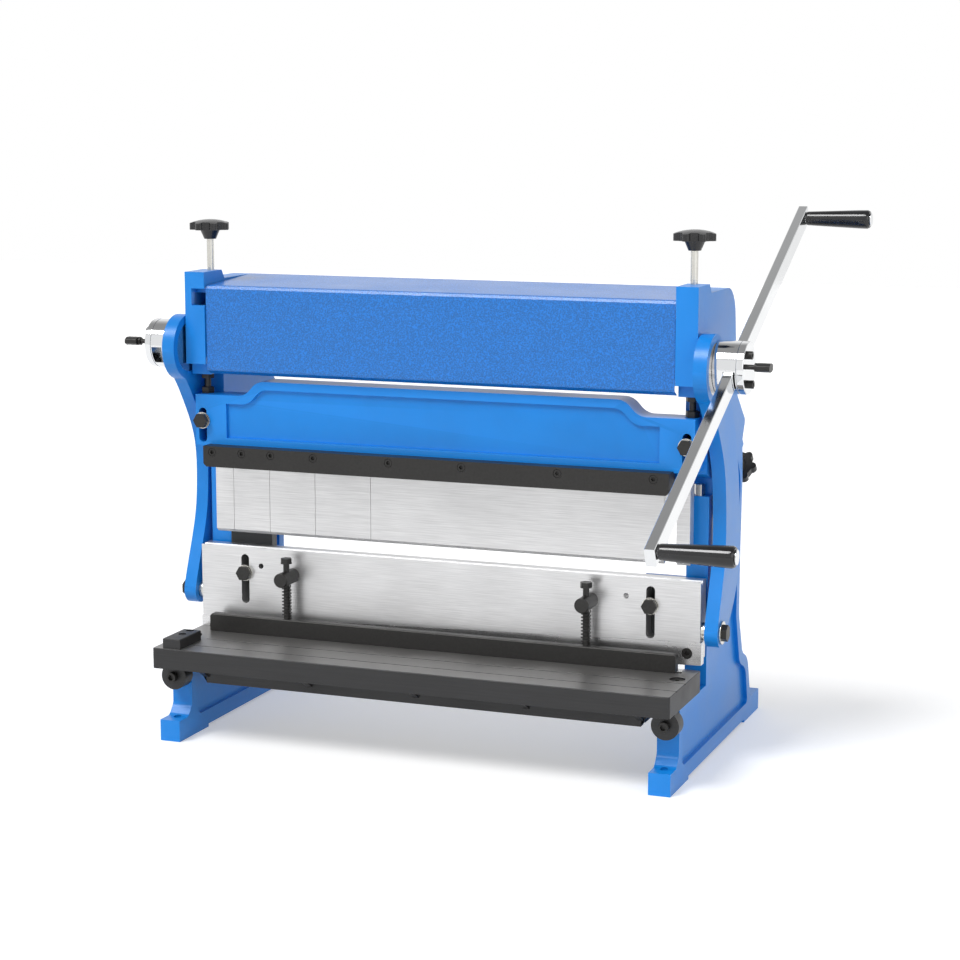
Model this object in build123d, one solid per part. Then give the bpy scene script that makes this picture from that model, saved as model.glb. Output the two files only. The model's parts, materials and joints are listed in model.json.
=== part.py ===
from build123d import *

import math
import os

# Three-in-one bench machine: a shear, a press brake and a slip roll on two cast side frames.
# Millimetres. X runs along the machine, Y to the rear, Z up. The origin is on the bench,
# midway between the four foot bolts.

# ---- side frames -------------------------------------------------------------------------
FRAME_GAP = 611.0        # between the inner faces of the two frames
FRAME_THICK = 27.0
FOOT_DEPTH = 417.0
FOOT_HEIGHT = 27.0
FOOT_RELIEF = 4.0        # how far the middle of the foot stands off the bench
BOLT_PITCH_Y = 377.0     # foot bolts, front to rear
FOOT_HOLE = 10.0
HEAD_TOP = 582.5
HEAD_SEAT = 452.5        # underside of the head, over the beam's end
HEAD_WALL = 6.0          # wall left outside a bearing slot
HEAD_FRONT = -120.0
HEAD_BOTTOM = 467.0
PANEL_DEPTH = 5.0        # recessed panels in the castings
COVER_SCREW_Z = 560.0    # screws that hold the cover to the heads

# ---- shaft, rolls and eccentrics -----------------------------------------------------------
SHAFT_Y = -96.0
SHAFT_Z = 489.0
ROLL_R = 17.0
ROLL_NIP = 0.8           # gap between the lower and the upper roll
ROLL_JOURNAL_R = 12.0
SIDE_JOURNAL_R = 10.0
GEAR_WIDTH = 17.0
GEAR_TEETH = 17
BLOCK = 30.0             # height of a bearing block
REAR_ROLL_Y = -33.0
REAR_ROLL_Z = 503.0
REAR_TILT = 45.0         # slope of the rear roll's slot and screw, degrees
ECCENTRICITY = 12.0
ECCENTRIC_REST = 10.0    # degrees below the horizontal, towards the front
SHEAVE_R = 31.0
ARM_EYE_R = 41.0
ARM_THICK = 16.5
ARM_GAP = 2.0            # between a frame's outer face and its arm's eye
ARM_LEAN = 4.5           # how much further out an arm's lower end stands
HUB_R = 31.0
HUB_LENGTH = 27.7
DISC_THICK = 9.0
RUNNING = 0.05           # radial clearance of a running fit
SLIDING = 0.15           # clearance beside a sliding face

# ---- shear ---------------------------------------------------------------------------------
TABLE_TOP = 122.5
TABLE_THICK = 26.0
TABLE_FRONT = -222.0
RAM_FRONT = -89.0        # the shear plane
RAM_THICK = 23.0
RAM_TOP = 230.0
RAM_RAKE = 20.4          # the blade's left end is this much lower than its right end
RAM_EDGE_LEFT = 135.9    # height of the blade seat at the left end
BLADE_HEIGHT = 28.0
BLADE_THICK = 12.0
GUIDE_Z = 196.5
BEAM_BOLT_Z = 394.0
LUG_Z = 80.0             # bolting lugs under the table
PIN_Z = 168.0
PIN_PLAY = 1.5           # radial play of an arm's lower eye on its pivot pin
STUDS_X = (-203.0, 195.5)
STUD_Z = 198.0
HOLD_DOWN_Y = -108.0
HOLD_DOWN_TOP = 145.3

# ---- press brake -----------------------------------------------------------------------------
BEAM_FRONT = -107.2
BEAM_BACK = -71.5
BEAM_BOTTOM = 362.3
BEAM_END_TOP = 427.0
BEAM_MID_TOP = 446.5
FINGER_FRONT = -87.5
FINGER_TIP = 248.0
FINGER_TOP = 352.0
SHORT_FINGERS = (25.4, 50.8, 63.5, 76.2)
CLAMP_FRONT = -126.5
CLAMP_TOP = 364.3
CLAMP_SCREW_Z = 356.7
CLAMP_SCREWS = (0.026, 0.095, 0.1625, 0.26, 0.43, 0.5905, 0.796, 0.995)  # shares of the fingers' row

# ---- springs -----------------------------------------------------------------------------------
WIRE = 1.6
SPRING_R = 5.4           # to the middle of the wire
SPRING_TURNS = 9

# ---- crank -------------------------------------------------------------------------------------
CRANK_HALF = 373.0
CRANK_WIDTH = 22.0
CRANK_THICK = 12.0
CRANK_ANGLE = 25.6       # the bar's slope at rest, rising to the rear
GRIP_LENGTH = 82.0

# ---- worked out ----------------------------------------------------------------------------------
FRAME_IN = FRAME_GAP / 2
FRAME_OUT = FRAME_IN + FRAME_THICK
FRAME_MID = (FRAME_IN + FRAME_OUT) / 2
SLOT_OUT = FRAME_OUT - HEAD_WALL
BLOCK_MID = (FRAME_IN + SLOT_OUT) / 2
ARM_IN = FRAME_OUT + ARM_GAP
ARM_OUT = ARM_IN + ARM_THICK
HUB_IN = ARM_OUT + 0.4
HUB_OUT = HUB_IN + HUB_LENGTH
DISC_OUT = HUB_OUT + DISC_THICK
BAR_X = HUB_OUT - 2.0 - CRANK_THICK / 2
UPPER_Z = SHAFT_Z + 2 * ROLL_R + ROLL_NIP
SLOT_TOP = UPPER_Z + BLOCK / 2 + 17
TOP_SCREW_Y = SHAFT_Y + 15.5
EYE_Y = SHAFT_Y - ECCENTRICITY * math.cos(math.radians(ECCENTRIC_REST))
EYE_Z = SHAFT_Z - ECCENTRICITY * math.sin(math.radians(ECCENTRIC_REST))
TABLE_UNDER = TABLE_TOP - TABLE_THICK
TABLE_HALF = FRAME_OUT + 1.5
RAM_HALF = FRAME_OUT
BEAM_HALF = FRAME_OUT - 5.2
GUIDE_X = FRAME_IN - 35.0
BEAM_BOLT_X = FRAME_IN + 12.0
LUG_X = FRAME_MID + 1.5
GAUGE_X = -FRAME_IN - 3.0
LOWER_BLADE_HALF = FRAME_IN + 8.5
NOSE_HALF = FRAME_IN - 5.5
FINGER_START = -FRAME_IN - 5.5
FINGER_END = FRAME_IN - 19.6
FINGER_WIDTHS = (*SHORT_FINGERS, FINGER_END - FINGER_START - sum(SHORT_FINGERS))
CLAMP_START = FINGER_START + 3.0
CLAMP_END = FINGER_END + 16.1
CLAMP_SCREWS_X = [FINGER_START + share * (FINGER_END - FINGER_START) for share in CLAMP_SCREWS]
RAM_BACK = RAM_FRONT + RAM_THICK
PIN_Y = RAM_FRONT + RAM_THICK / 2
SEAT_SLOPE = math.degrees(math.atan2(RAM_RAKE, 2 * RAM_HALF))
FOOT_Y = FOOT_DEPTH / 2
SPRING_SEAT = STUD_Z - 8.0


def save(name, *solids):
    """Write one node's solids as one STEP file."""
    os.makedirs("parts", exist_ok=True)
    whole = [s for item in solids for s in item.solids()]
    export_step(whole[0] if len(whole) == 1 else Compound(children=whole), f"parts/{name}.step")


# ---- shapes used more than once ----------------------------------------------------------------
def box(x0, x1, y0, y1, z0, z1):
    """A block between two corners."""
    return Pos((x0 + x1) / 2, (y0 + y1) / 2, (z0 + z1) / 2) * Box(x1 - x0, y1 - y0, z1 - z0)


def rod_x(x0, x1, y, z, r):
    """A round bar along X."""
    return Pos((x0 + x1) / 2, y, z) * Rot(0, 90, 0) * Cylinder(r, abs(x1 - x0))


def rod_y(y0, y1, x, z, r):
    """A round bar along Y."""
    return Pos(x, (y0 + y1) / 2, z) * Rot(90, 0, 0) * Cylinder(r, abs(y1 - y0))


def rod_z(z0, z1, x, y, r):
    """A round bar along Z."""
    return Pos(x, y, (z0 + z1) / 2) * Cylinder(r, abs(z1 - z0))


def outline(points):
    """A flat face inside an outline; a third number on a point is that corner's radius."""
    face = make_face(Polyline(*[point[:2] for point in points], close=True))
    for u, v, r in [point for point in points if len(point) == 3]:
        face = fillet(face.vertices().sort_by_distance((u, v))[0], r)
    return face


def slab_x(points, x0, x1):
    """An outline in the YZ plane, as thick as from x0 to x1."""
    return Pos(x0, 0, 0) * extrude(Plane.YZ * outline(points), amount=x1 - x0, dir=(1, 0, 0))


def slab_y(points, y0, y1):
    """An outline in the XZ plane, as thick as from y0 to y1."""
    return Pos(0, y0, 0) * extrude(Plane.XZ * outline(points), amount=y1 - y0, dir=(0, 1, 0))


def other_side(shape):
    """The same piece at the left end of the machine."""
    return mirror(shape, about=Plane.YZ)


def hex_along_y(across_flats, y0, y1, x, z):
    """A hexagon head or nut, its axis along Y."""
    head = extrude(RegularPolygon(across_flats / 2, 6, major_radius=False), amount=abs(y1 - y0))
    return Pos(x, max(y0, y1), z) * Rot(90, 0, 0) * head


def hex_along_z(across_flats, z0, z1, x, y):
    """A hexagon head or nut, its axis along Z."""
    head = extrude(RegularPolygon(across_flats / 2, 6, major_radius=False), amount=z1 - z0)
    return Pos(x, y, z0) * head


def hex_along_x(across_flats, x0, x1, y, z):
    """A hexagon head or nut, its axis along X."""
    head = extrude(RegularPolygon(across_flats / 2, 6, major_radius=False), amount=x1 - x0)
    return Pos(x0, y, z) * Rot(0, 90, 0) * head


def cap_screw_y(y_seat, length, x, z, thread):
    """A socket cap screw whose head stands in front of y_seat and whose shank runs rearwards."""
    head = rod_y(y_seat - thread, y_seat, x, z, 0.8 * thread)
    socket = hex_along_y(0.8 * thread, y_seat - thread, y_seat - 0.5 * thread, x, z)
    return head + rod_y(y_seat, y_seat + length, x, z, thread / 2) - socket


def cap_screw_x(x_seat, length, y, z, thread):
    """A socket cap screw whose head stands outside x_seat and whose shank runs inwards."""
    head = rod_x(x_seat, x_seat + thread, y, z, 0.8 * thread)
    socket = hex_along_x(0.8 * thread, x_seat + 0.5 * thread, x_seat + thread, y, z)
    return head + rod_x(x_seat - length, x_seat, y, z, thread / 2) - socket


def slot_y(x, z0, z1, width, y0, y1):
    """A round-ended upright slot cut along Y."""
    middle = box(x - width / 2, x + width / 2, y0, y1, z0 + width / 2, z1 - width / 2)
    ends = [rod_y(y0, y1, x, z, width / 2) for z in (z0 + width / 2, z1 - width / 2)]
    return middle + ends[0] + ends[1]


def star_knob():
    """Seven-lobed domed knob on a tapered hub, its screw's axis along Z, its hub's foot at z = 0."""
    lobe_circle, lobe_r, hub, height, dome = 20.5, 5.0, 11.5, 13.0, 70.0
    star = Circle(lobe_circle)
    for i in range(7):
        at = math.radians(360 / 7 * i)
        star += Pos(lobe_circle * math.cos(at), lobe_circle * math.sin(at)) * Circle(lobe_r)
    star = fillet(star.vertices(), 2.2)
    body = extrude(Pos(0, 0, hub) * star, amount=height)
    body &= Pos(0, 0, hub + height - dome) * Sphere(dome)
    body += Pos(0, 0, hub / 2) * Cone(7.5, 12.5, hub)
    return body - Pos(0, 0, 10) * Cylinder(4.5, 20)


# ---- side frames -------------------------------------------------------------------------------
COLUMN_FRONT = RAM_BACK + 7.5
LEDGE_Z = 328.0


def frame_outline():
    """Side view of a frame: bench foot, column, brake seat and roll head."""
    return [
        (-FOOT_Y, 0), (-FOOT_Y, FOOT_HEIGHT), (-185, FOOT_HEIGHT, 8), (-174, 40, 12), (-174, TABLE_UNDER),
        (COLUMN_FRONT, TABLE_UNDER), (COLUMN_FRONT, LEDGE_Z), (COLUMN_FRONT + 14, LEDGE_Z),
        (COLUMN_FRONT + 14, 348), (BEAM_BACK + SLIDING, 357), (BEAM_BACK + SLIDING, HEAD_SEAT),
        (HEAD_FRONT + 15.5, HEAD_SEAT), (HEAD_FRONT + 15.5, HEAD_BOTTOM), (HEAD_FRONT, HEAD_BOTTOM),
        (HEAD_FRONT, HEAD_TOP), (-71, HEAD_TOP), (-64, HEAD_TOP - 11), (46, HEAD_TOP - 11, 38),
        (65, 437, 20), (109, 399, 6), (97, 376, 8), (101, 323, 60), (97, 237, 100), (97, 150, 60),
        (118, 97, 18), (146, 84, 30), (164, FOOT_HEIGHT, 8), (FOOT_Y, FOOT_HEIGHT), (FOOT_Y, 0),
    ]


def panel_outline():
    """Recessed panel in a frame's side: parallel to the bench below, curved towards the rear foot."""
    inner = COLUMN_FRONT + 14
    return [
        (-160, 23, 12), (149, 23, 6), (136, 72, 24), (104, 86, 20), (83, 150, 40), (83, 237, 100),
        (92, 326, 30), (64, 372, 22), (-22, 372, 14), (inner + 14, 350), (inner + 14, 314, 6),
        (inner, 300), (inner, 112, 10), (-24, 84, 6), (-160, 84, 10),
    ]


def along_rear_axis(distance):
    """A point on the rear roll's screw axis, measured downwards from the roll's centre."""
    t = math.radians(REAR_TILT)
    return REAR_ROLL_Y + distance * math.cos(t), REAR_ROLL_Z - distance * math.sin(t)


def rod_on_rear_axis(x, start, end, r):
    """A round bar on the rear roll's screw axis."""
    y, z = along_rear_axis((start + end) / 2)
    return Pos(x, y, z) * Rot(-90 - REAR_TILT, 0, 0) * Cylinder(r, end - start)


def right_frame():
    """The right-hand casting with its head, guide lug, bores and slots."""
    body = slab_x(frame_outline(), FRAME_IN, FRAME_OUT)
    body -= slab_x(panel_outline(), FRAME_OUT - PANEL_DEPTH, FRAME_OUT + 1)
    body -= slab_x(panel_outline(), FRAME_IN - 1, FRAME_IN + PANEL_DEPTH)
    body -= box(FRAME_IN - 1, FRAME_OUT + 1, -131, 132, -1, FOOT_RELIEF)
    body += box(GUIDE_X - 22, FRAME_IN + 4, RAM_BACK + 14, RAM_BACK + 34, 160, 224)
    body += rod_on_rear_axis(FRAME_MID, 160, 192, FRAME_THICK / 2 - 0.3)
    for y in (-BOLT_PITCH_Y / 2, BOLT_PITCH_Y / 2):
        body -= rod_z(-1, FOOT_HEIGHT + 1, FRAME_MID, y, FOOT_HOLE / 2)
    body -= rod_y(-175, -150, LUG_X, LUG_Z, 4.0)
    body -= rod_x(FRAME_IN - 1, FRAME_OUT + 1, SHAFT_Y, SHAFT_Z, 15.0)
    body -= box(FRAME_IN - 1, SLOT_OUT, SHAFT_Y - 16, SHAFT_Y + 22, UPPER_Z - BLOCK / 2, SLOT_TOP)
    body -= rod_z(SLOT_TOP - 1, HEAD_TOP + 1, BLOCK_MID, TOP_SCREW_Y, 4.6)
    slot = Rot(-REAR_TILT, 0, 0) * Box(SLOT_OUT - FRAME_IN + 1, BLOCK + 29, BLOCK + 2 * SLIDING)
    body -= Pos(BLOCK_MID - 0.5, *along_rear_axis(-5)) * slot
    body -= rod_on_rear_axis(BLOCK_MID, 10, 200, 4.1)
    body -= rod_y(RAM_BACK + 13, RAM_BACK + 35, GUIDE_X, GUIDE_Z, 5.0)
    body -= rod_y(BEAM_BACK - 1, BEAM_BACK + 26, BEAM_BOLT_X, BEAM_BOLT_Z, 5.0)
    body -= rod_z(LEDGE_Z - 20, LEDGE_Z + 1, FRAME_MID, COLUMN_FRONT + 7, 4.0)
    for y in (-52, -28):
        body -= rod_x(FRAME_IN - 1, FRAME_IN + 12, y, COVER_SCREW_Z, 2.5)
    return body


def left_frame():
    """The left-hand casting, which also has a window into the upper bearing's slot."""
    body = other_side(right_frame())
    window = box(-BLOCK_MID - 7.3, -FRAME_IN + 1, HEAD_FRONT - 1, SHAFT_Y - 10, SLOT_TOP - 15, SLOT_TOP + 6)
    return body - window


# ---- work table and shear ----------------------------------------------------------------------
LOWER_BLADE_DEPTH = 12.0
LOWER_BLADE_HEIGHT = 18.0
LUG_Y = -193.5
RIB_FOOT = 70.0          # how low the table's ribs reach
GAUGE_HEIGHT = 12.5
GAUGE_SCREWS_Y = (-190, -170)


def work_table():
    """Ribbed cast table with two grooves, a blade seat along the rear and two bolting lugs."""
    body = box(-TABLE_HALF, TABLE_HALF, TABLE_FRONT, RAM_FRONT - 0.1, TABLE_UNDER, TABLE_TOP)
    body = fillet(body.edges().filter_by(Axis.Z), 3)
    body = chamfer(body.edges().group_by(Axis.Z)[-1], 0.8)
    wide, narrow = FRAME_IN - 5.5, FRAME_IN - 20.5
    rib = [(-wide, TABLE_UNDER + 1), (wide, TABLE_UNDER + 1), (narrow, RIB_FOOT), (-narrow, RIB_FOOT)]
    body += slab_y(rib, -172, -162) + slab_y(rib, -116, -106)
    web = [(-205, TABLE_UNDER + 1), (-95, TABLE_UNDER + 1), (-112, RIB_FOOT + 4), (-166, RIB_FOOT + 4)]
    for i in range(-2, 3):
        body += slab_x(web, i * narrow / 2 - 4, i * narrow / 2 + 4)
    for side in (-1, 1):
        x = side * LUG_X
        body += rod_y(LUG_Y, -174, x, LUG_Z, 17)
        body += box(x - 11, x + 11, LUG_Y + 2, -174, LUG_Z, TABLE_UNDER + 1)
        body -= rod_y(LUG_Y - 1, -173, x, LUG_Z, 4.2)
    for y in GAUGE_SCREWS_Y:
        body -= rod_z(TABLE_TOP - 9, TABLE_TOP + 1, GAUGE_X, y, 3.0)
    body -= rod_z(TABLE_TOP - 7, TABLE_TOP + 1, FRAME_MID, -138, 9.5)
    body -= rod_z(TABLE_TOP - 9, TABLE_TOP + 1, FRAME_MID - 6, -108, 3.0)
    for y in (-156, -192):
        body -= box(GAUGE_X + 16, TABLE_HALF + 1, y - 0.9, y + 0.9, TABLE_TOP - 1.4, TABLE_TOP + 1)
    half = LOWER_BLADE_HALF + 0.1
    seat = box(-half, half, RAM_FRONT - 0.1 - LOWER_BLADE_DEPTH, RAM_FRONT + 1,
               TABLE_TOP - LOWER_BLADE_HEIGHT, TABLE_TOP + 1)
    return body - seat


def lower_blade():
    """Fixed blade, flush with the table's top and with the shear plane."""
    return box(-LOWER_BLADE_HALF, LOWER_BLADE_HALF, RAM_FRONT - 0.1 - LOWER_BLADE_DEPTH, RAM_FRONT - 0.1,
               TABLE_TOP - LOWER_BLADE_HEIGHT, TABLE_TOP)


def side_gauge():
    """Squaring block with two counterbored holes, at the left end of the table."""
    body = box(GAUGE_X - 12, GAUGE_X + 12, -219, -164, TABLE_TOP, TABLE_TOP + GAUGE_HEIGHT)
    body = chamfer(body.edges().group_by(Axis.Z)[-1], 0.8)
    for y in GAUGE_SCREWS_Y:
        body -= rod_z(TABLE_TOP + 6, TABLE_TOP + GAUGE_HEIGHT + 1, GAUGE_X, y, 5.2)
        body -= rod_z(TABLE_TOP - 1, TABLE_TOP + 7, GAUGE_X, y, 3.0)
    return body - rod_y(-172, -163, GAUGE_X + 8, TABLE_TOP + 5.5, 2.0)


def table_screws():
    """Screws through the table's lugs, the gauge's two screws, its stop pin and the right-hand screw."""
    pieces = [cap_screw_y(LUG_Y, 40, side * LUG_X, LUG_Z, 8) for side in (-1, 1)]
    for y in GAUGE_SCREWS_Y:
        screw = rod_z(TABLE_TOP - 8, TABLE_TOP + 6, GAUGE_X, y, 3.0)
        screw += rod_z(TABLE_TOP + 6, TABLE_TOP + 11, GAUGE_X, y, 5.0)
        pieces.append(screw - hex_along_z(5, TABLE_TOP + 8, TABLE_TOP + 12, GAUGE_X, y))
    pieces.append(rod_y(-172, -157, GAUGE_X + 8, TABLE_TOP + 5.5, 2.0))
    plug = rod_z(TABLE_TOP - 7, TABLE_TOP - 1.5, FRAME_MID, -138, 9.4)
    pieces.append(plug - hex_along_z(6, TABLE_TOP - 4, TABLE_TOP, FRAME_MID, -138))
    return pieces


def seat_height(x):
    """Height of the ram's raked blade seat at a place along the machine."""
    return RAM_EDGE_LEFT + RAM_RAKE * (x + RAM_HALF) / (2 * RAM_HALF)


BACK_LIP = 22.0          # how far the ram reaches down behind its blade
BLADE_SCREWS_X = [(RAM_HALF - 16.1) * share for share in (-1, -0.6, -0.2, 0.2, 0.6, 1)]


def ram_plate():
    """Moving plate: raked blade seat below, bending groove along the top, two slots for its guide bolts."""
    front = [(-RAM_HALF, seat_height(-RAM_HALF)), (RAM_HALF, seat_height(RAM_HALF)),
             (RAM_HALF, RAM_TOP), (-RAM_HALF, RAM_TOP)]
    lip = [(-RAM_HALF, seat_height(-RAM_HALF) - BACK_LIP), (RAM_HALF, seat_height(RAM_HALF) - BACK_LIP),
           (RAM_HALF, RAM_TOP - 2), (-RAM_HALF, RAM_TOP - 2)]
    body = slab_y(front, RAM_FRONT, RAM_BACK) + slab_y(lip, RAM_FRONT + BLADE_THICK, RAM_BACK)
    tip = FINGER_FRONT + 4
    body -= slab_x([(tip, RAM_TOP - 4.5), (tip + 5.5, RAM_TOP + 1), (tip - 5.5, RAM_TOP + 1)],
                   -RAM_HALF - 1, RAM_HALF + 1)
    for side in (-1, 1):
        body -= slot_y(side * GUIDE_X, 156.5, 220.5, 11, RAM_FRONT - 1, RAM_BACK + 1)
        body -= rod_y(RAM_FRONT - 1, RAM_BACK + 1, side * (GUIDE_X - 26.5) - 4, 206.5, 3.4)
        body -= rod_x(side * (RAM_HALF - 26), side * (RAM_HALF + 1), PIN_Y, PIN_Z, 6.0)
    for x in STUDS_X:
        body -= rod_y(RAM_FRONT - 1, RAM_FRONT + 14, x, STUD_Z, 5.0)
    for x in BLADE_SCREWS_X:
        body -= rod_y(RAM_FRONT, RAM_BACK - 2, x, seat_height(x) - 14, 4.0)
    return body


def upper_blade():
    """Moving blade, held under the ram's raked seat with its face on the shear plane."""
    half = RAM_HALF + 1.5
    edge = [(-half, seat_height(-half) - 0.1), (half, seat_height(half) - 0.1),
            (half, seat_height(half) - BLADE_HEIGHT), (-half, seat_height(-half) - BLADE_HEIGHT)]
    body = slab_y(edge, RAM_FRONT, RAM_FRONT + BLADE_THICK)
    for x in BLADE_SCREWS_X:
        z = seat_height(x) - 14
        body -= rod_y(RAM_FRONT - 1, RAM_FRONT + 8.4, x, z, 6.8)
        body -= rod_y(RAM_FRONT - 1, RAM_FRONT + BLADE_THICK + 1, x, z, 4.0)
    return body


def upper_blade_screws():
    """Countersunk-in socket screws that hold the moving blade."""
    return [cap_screw_y(RAM_FRONT + 8.4, 10, x, seat_height(x) - 14, 8) for x in BLADE_SCREWS_X]


def guide_blocks():
    """Bearing blocks behind the ram, one standing high on the left, one low on the right."""
    pieces = []
    for side, top in ((-1, 262), (1, 224)):
        x0, x1 = sorted((side * (GUIDE_X - 27.5), side * (GUIDE_X + 30.5)))
        block = box(x0, x1, RAM_BACK + SLIDING, RAM_BACK + 14, 150, top)
        pieces.append(block - rod_y(RAM_BACK - 1, RAM_BACK + 15, side * GUIDE_X, GUIDE_Z, 5.0))
    return pieces


def slot_bolt(x, face, z, end):
    """Hexagon bolt and washer against a face, its shank running rearwards through a slot."""
    bolt = hex_along_y(17, face - 8.4, face - 2, x, z) + rod_y(face - 2, face, x, z, 10.5)
    return bolt + rod_y(face, end, x, z, 4.9)


def slot_bolts():
    """Bolts that guide the ram by its two slots, and bolts that clamp the beam to the frames."""
    pieces = []
    for side in (-1, 1):
        pieces.append(slot_bolt(side * GUIDE_X, RAM_FRONT - SLIDING, GUIDE_Z, RAM_BACK + 34))
        pieces.append(slot_bolt(side * BEAM_BOLT_X, BEAM_FRONT - SLIDING, BEAM_BOLT_Z, BEAM_BACK + 24))
    return pieces


# ---- hold-down -----------------------------------------------------------------------------------
STUD_FRONT = -126.5
ROD_R = 3.9
ROD_HEAD_Z = 217.0


def hold_down_bar():
    """Chamfered bar that grips the sheet in front of the blades."""
    half = FRAME_IN + 4
    body = box(-half, half, HOLD_DOWN_Y - 6, HOLD_DOWN_Y + 6, TABLE_TOP + 0.3, HOLD_DOWN_TOP)
    body = chamfer(body.edges().filter_by(Axis.Y).group_by(Axis.Z)[-1], 3)
    body = chamfer(body.edges().filter_by(Axis.X).group_by(Axis.Z)[-1], 1.2)
    for x in STUDS_X:
        body -= rod_z(TABLE_TOP + 8, HOLD_DOWN_TOP + 1, x, HOLD_DOWN_Y, ROD_R)
    return body


def hold_down_rods():
    """Two bolts screwed into the hold-down bar, sliding through the ram's studs."""
    pieces = []
    for x in STUDS_X:
        rod = rod_z(TABLE_TOP + 8, ROD_HEAD_Z, x, HOLD_DOWN_Y, ROD_R)
        rod += rod_z(ROD_HEAD_Z, ROD_HEAD_Z + 1.2, x, HOLD_DOWN_Y, 7.2)
        pieces.append(rod + hex_along_z(13, ROD_HEAD_Z + 1.2, ROD_HEAD_Z + 6.7, x, HOLD_DOWN_Y))
    return pieces


def cross_studs():
    """Round studs screwed into the ram's face, bored for the rods and spot-faced for the springs."""
    pieces = []
    for x in STUDS_X:
        stud = rod_y(STUD_FRONT, RAM_FRONT, x, STUD_Z, 9.25)
        stud = chamfer(stud.edges().group_by(Axis.Y)[0], 1.0)
        stud += rod_y(RAM_FRONT, RAM_FRONT + 14, x, STUD_Z, 5.0)
        stud -= rod_z(STUD_Z - 12, STUD_Z + 12, x, HOLD_DOWN_Y, ROD_R + 0.3)
        stud -= rod_z(STUD_Z - 12, SPRING_SEAT, x, HOLD_DOWN_Y, 8.0)
        pieces.append(stud)
    return pieces


def biarc(p, p_dir, q, q_dir):
    """Two tangent arcs from p along p_dir to q along q_dir."""
    v, t = q - p, p_dir + q_dir
    a, b, c = t.dot(t) - 4, -2 * v.dot(t), v.dot(v)
    reach = (-b - math.sqrt(b * b - 4 * a * c)) / (2 * a)
    first, last = p + p_dir * reach, q - q_dir * reach
    joint = (first + last) * 0.5
    return [TangentArc(p, joint, tangent=p_dir), TangentArc(joint, q, tangent=(last - first).normalized())]


def helix_point(turn, low, pitch):
    """Place and heading of the spring's wire after a number of turns."""
    at = 2 * math.pi * turn
    place = Vector(SPRING_R * math.cos(at), SPRING_R * math.sin(at), low + pitch * turn)
    heading = Vector(-SPRING_R * math.sin(at), SPRING_R * math.cos(at), pitch / (2 * math.pi))
    return place, heading.normalized()


def spring(x):
    """Compression spring round a hold-down rod: one wire whose ends turn square to their seats."""
    up = Vector(0, 0, 1)
    low, high = HOLD_DOWN_TOP + 0.05, SPRING_SEAT - 0.05
    lead = 2.2 * WIRE
    pitch = (high - low - 2 * lead) / SPRING_TURNS
    foot, top = Vector(SPRING_R, 0, low), Vector(SPRING_R, 0, high)
    path = [Line(foot, foot + up * WIRE)]
    stops = [(foot + up * WIRE, up)]
    quarters = SPRING_TURNS * 4
    stops += [helix_point(i / 4, low + lead, pitch) for i in range(1, quarters)]
    stops.append((top - up * WIRE, up))
    for (p, p_dir), (q, q_dir) in zip(stops, stops[1:]):
        path += biarc(p, p_dir, q, q_dir)
    path.append(Line(top - up * WIRE, top))
    wire = Wire(path)
    print_wire_gap(wire)
    tube = sweep(Plane(foot, z_dir=up) * Circle(WIRE / 2), path=wire)
    return Pos(x, HOLD_DOWN_Y, 0) * tube


def print_wire_gap(wire):
    """Print the least gap between the spring's wire and itself, measured on points."""
    count = 60 * SPRING_TURNS
    points = [wire.position_at(i / count) for i in range(count + 1)]
    step = wire.length / count
    far = math.ceil(3 * WIRE / step)
    least = min((points[i] - points[j]).length for i in range(count) for j in range(i + far, count + 1))
    print(f"spring: {wire.length:.0f} mm of wire, least gap to itself {least - WIRE:.2f} mm")


# ---- press brake -----------------------------------------------------------------------------------
def beam_outline(inset):
    """Front view of the brake beam, low at the ends and high in the middle, or of its panel."""
    low, end = BEAM_BOTTOM + inset, BEAM_END_TOP - inset
    top, x_end, step = BEAM_MID_TOP - inset, BEAM_HALF - (43 if inset else 0), FRAME_IN - 56 - inset / 2
    half = [(x_end, low), (x_end, end), (step + 9, end, 22), (step - 9, top, 22)]
    return half + [(-x, *rest) for x, *rest in reversed(half)]


def brake_beam():
    """Cast beam with a recessed face, a nose behind the fingers and two clamp slots."""
    body = slab_y(beam_outline(0), BEAM_FRONT, BEAM_BACK)
    body -= slab_y(beam_outline(10.5), BEAM_FRONT - 1, BEAM_FRONT + 4)
    nose = [(BEAM_BACK - 1, BEAM_END_TOP - 15), (BEAM_BACK - 1, BEAM_BOTTOM + 1), (BEAM_BACK, BEAM_BOTTOM),
            (BEAM_BACK, 332), (BEAM_BACK + 12, 332), (BEAM_BACK + 20, 352), (BEAM_BACK + 20, BEAM_END_TOP - 30)]
    body += slab_x(nose, -NOSE_HALF, NOSE_HALF)
    for side in (-1, 1):
        body -= slot_y(side * BEAM_BOLT_X, 366, 410, 11, BEAM_FRONT - 1, BEAM_BACK + 1)
        body -= rod_z(BEAM_END_TOP - 25, BEAM_END_TOP + 1, side * FRAME_MID, JACK_Y, 4.0 + RUNNING)
    for x in CLAMP_SCREWS_X:
        body -= rod_y(BEAM_BACK - 2, BEAM_BACK + 11, x, CLAMP_SCREW_Z, 3.0)
    return body


JACK_Y = -88.5
JACK_HEAD = 6.3          # height of a jack bolt's head


def jack_bolt(side):
    """Bolt that bears on a head's underside and sets the beam's height."""
    x, seat = side * FRAME_MID, HEAD_SEAT - 0.2
    bolt = rod_z(BEAM_END_TOP - 24, seat - JACK_HEAD, x, JACK_Y, 4.0)
    return bolt + hex_along_z(15, seat - JACK_HEAD, seat, x, JACK_Y)


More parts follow.
